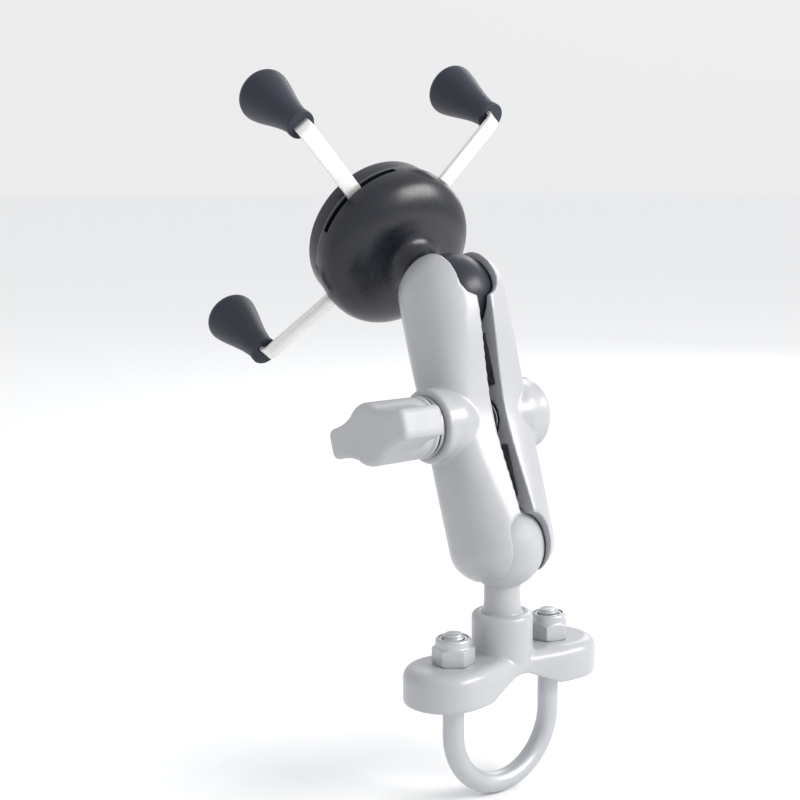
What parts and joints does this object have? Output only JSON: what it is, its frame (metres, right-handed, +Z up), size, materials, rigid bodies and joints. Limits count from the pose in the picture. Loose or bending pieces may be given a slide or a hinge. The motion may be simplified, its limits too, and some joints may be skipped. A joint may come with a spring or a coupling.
{
  "type": "handlebar phone mount",
  "caption": "U-bolt handlebar base with a ball, double-socket clamping arm with a wing knob, and a spring-loaded X-shaped phone holder with rubber tips.",
  "frame": {"origin": "on the axis of a seated 31.75 mm handlebar, midway between the legs of the U-bolt", "axes": "+X from leg to leg of the U-bolt, away from the knob; +Y along the handlebar; +Z up through the saddle to the base ball"},
  "size_m": [0.0934, 0.1181, 0.2212],
  "materials": {
    "cast_grey": "pale grey satin powder coat on cast aluminium",
    "grey_rubber": "matte moulded rubber, pale grey",
    "bolt_steel": "zinc plated steel, satin",
    "nylon": "nylon locking ring",
    "spring_steel": "bare spring steel",
    "knob_grey": "moulded composite, pale grey, satin",
    "black_plastic": "black moulded composite, half gloss",
    "ball_rubber": "black rubber, smooth",
    "tip_rubber": "black soft rubber, matte",
    "bright_steel": "polished stainless strip"
  },
  "bodies": {
    "base": {"base_plate": "cast_grey"},
    "u_bolt": {"u_bolt": "bolt_steel"},
    "nut_left": {"lock_nut_left": "bolt_steel", "nut_insert_left": "nylon"},
    "nut_right": {"lock_nut_right": "bolt_steel", "nut_insert_right": "nylon"},
    "base_ball": {"base_ball": "grey_rubber"},
    "arm": {"arm_half_near": "cast_grey", "arm_spring": "spring_steel", "knob_washer": "spring_steel"},
    "far_half": {"arm_half_far": "cast_grey", "clamp_bolt": "bolt_steel"},
    "knob": {"knob_body": "knob_grey", "knob_insert": "bolt_steel"},
    "holder_ball": {"holder_ball": "ball_rubber", "ball_stud": "bolt_steel", "stud_nut": "bolt_steel"},
    "hub": {"hub_back_cover": "black_plastic", "hub_front_cover": "black_plastic", "cover_screw_1": "spring_steel", "cover_screw_2": "spring_steel", "cover_screw_3": "spring_steel", "cover_screw_4": "spring_steel", "pivot_pin": "spring_steel", "grip_spring": "spring_steel"},
    "bar_a": {"grip_bar_a": "bright_steel", "tip_upper_near": "tip_rubber", "tip_lower_far": "tip_rubber"},
    "bar_b": {"grip_bar_b": "bright_steel", "tip_upper_far": "tip_rubber", "tip_lower_near": "tip_rubber"}
  },
  "joints": [
    {"name": "nut_left_turn", "type": "hinge", "parent": "base", "child": "nut_left", "pos_m": [-0.01945, 0, 0.0246], "axis": [0, 0, -1], "range_deg": [-545, 2345]},
    {"name": "nut_right_turn", "type": "hinge", "parent": "base", "child": "nut_right", "pos_m": [0.01945, 0, 0.0246], "axis": [0, 0, -1], "range_deg": [-545, 2345]},
    {"name": "u_bolt_draw", "type": "slide", "parent": "base", "child": "u_bolt", "axis": [0, 0, 1], "range_m": [-0.00191, 0.00826]},
    {"name": "base_ball_turn", "type": "hinge", "parent": "base", "child": "base_ball", "pos_m": [0, 0, 0.054], "axis": [0, 0, 1], "continuous": true},
    {"name": "arm_swing", "type": "hinge", "parent": "base_ball", "child": "arm", "pos_m": [0, 0, 0.054], "axis": [1, 0, 0], "range_deg": [-42.6, 77.4]},
    {"name": "knob_turn", "type": "hinge", "parent": "arm", "child": "knob", "pos_m": [0, 0.01147, 0.09059], "axis": [-1, 0, 0], "range_deg": [0, 570]},
    {"name": "arm_open", "type": "slide", "parent": "arm", "child": "far_half", "axis": [1, 0, 0], "range_m": [0, 0.002], "deforming": ["arm_spring"]},
    {"name": "holder_tilt", "type": "hinge", "parent": "arm", "child": "holder_ball", "pos_m": [0, 0.02294, 0.12719], "axis": [1, 0, 0], "range_deg": [-26.6, 123.4]},
    {"name": "holder_spin", "type": "hinge", "parent": "holder_ball", "child": "hub", "pos_m": [0, 0.02294, 0.12719], "axis": [0.0557, 0.9111, 0.4083], "continuous": true},
    {"name": "grip_open", "type": "hinge", "parent": "hub", "child": "bar_a", "pos_m": [0.00202, 0.05592, 0.14197], "axis": [-0.0557, -0.9111, -0.4083], "range_deg": [-9.6, 18.7], "stiffness_Nm_per_rad": 0.4, "deforming": ["grip_spring"]},
    {"name": "grip_open_b", "type": "hinge", "parent": "hub", "child": "bar_b", "pos_m": [0.00202, 0.05592, 0.14197], "axis": [-0.0557, -0.9111, -0.4083], "range_deg": [-18.7, 9.6]}
  ],
  "couplings": [
    {"joint": "nut_left_turn", "follows": "u_bolt_draw", "rad_per_m": 4947.4},
    {"joint": "nut_right_turn", "follows": "u_bolt_draw", "rad_per_m": 4947.4},
    {"joint": "knob_turn", "follows": "arm_open", "rad_per_m": 4947.4},
    {"joint": "grip_open_b", "follows": "grip_open", "ratio": -1}
  ]
}
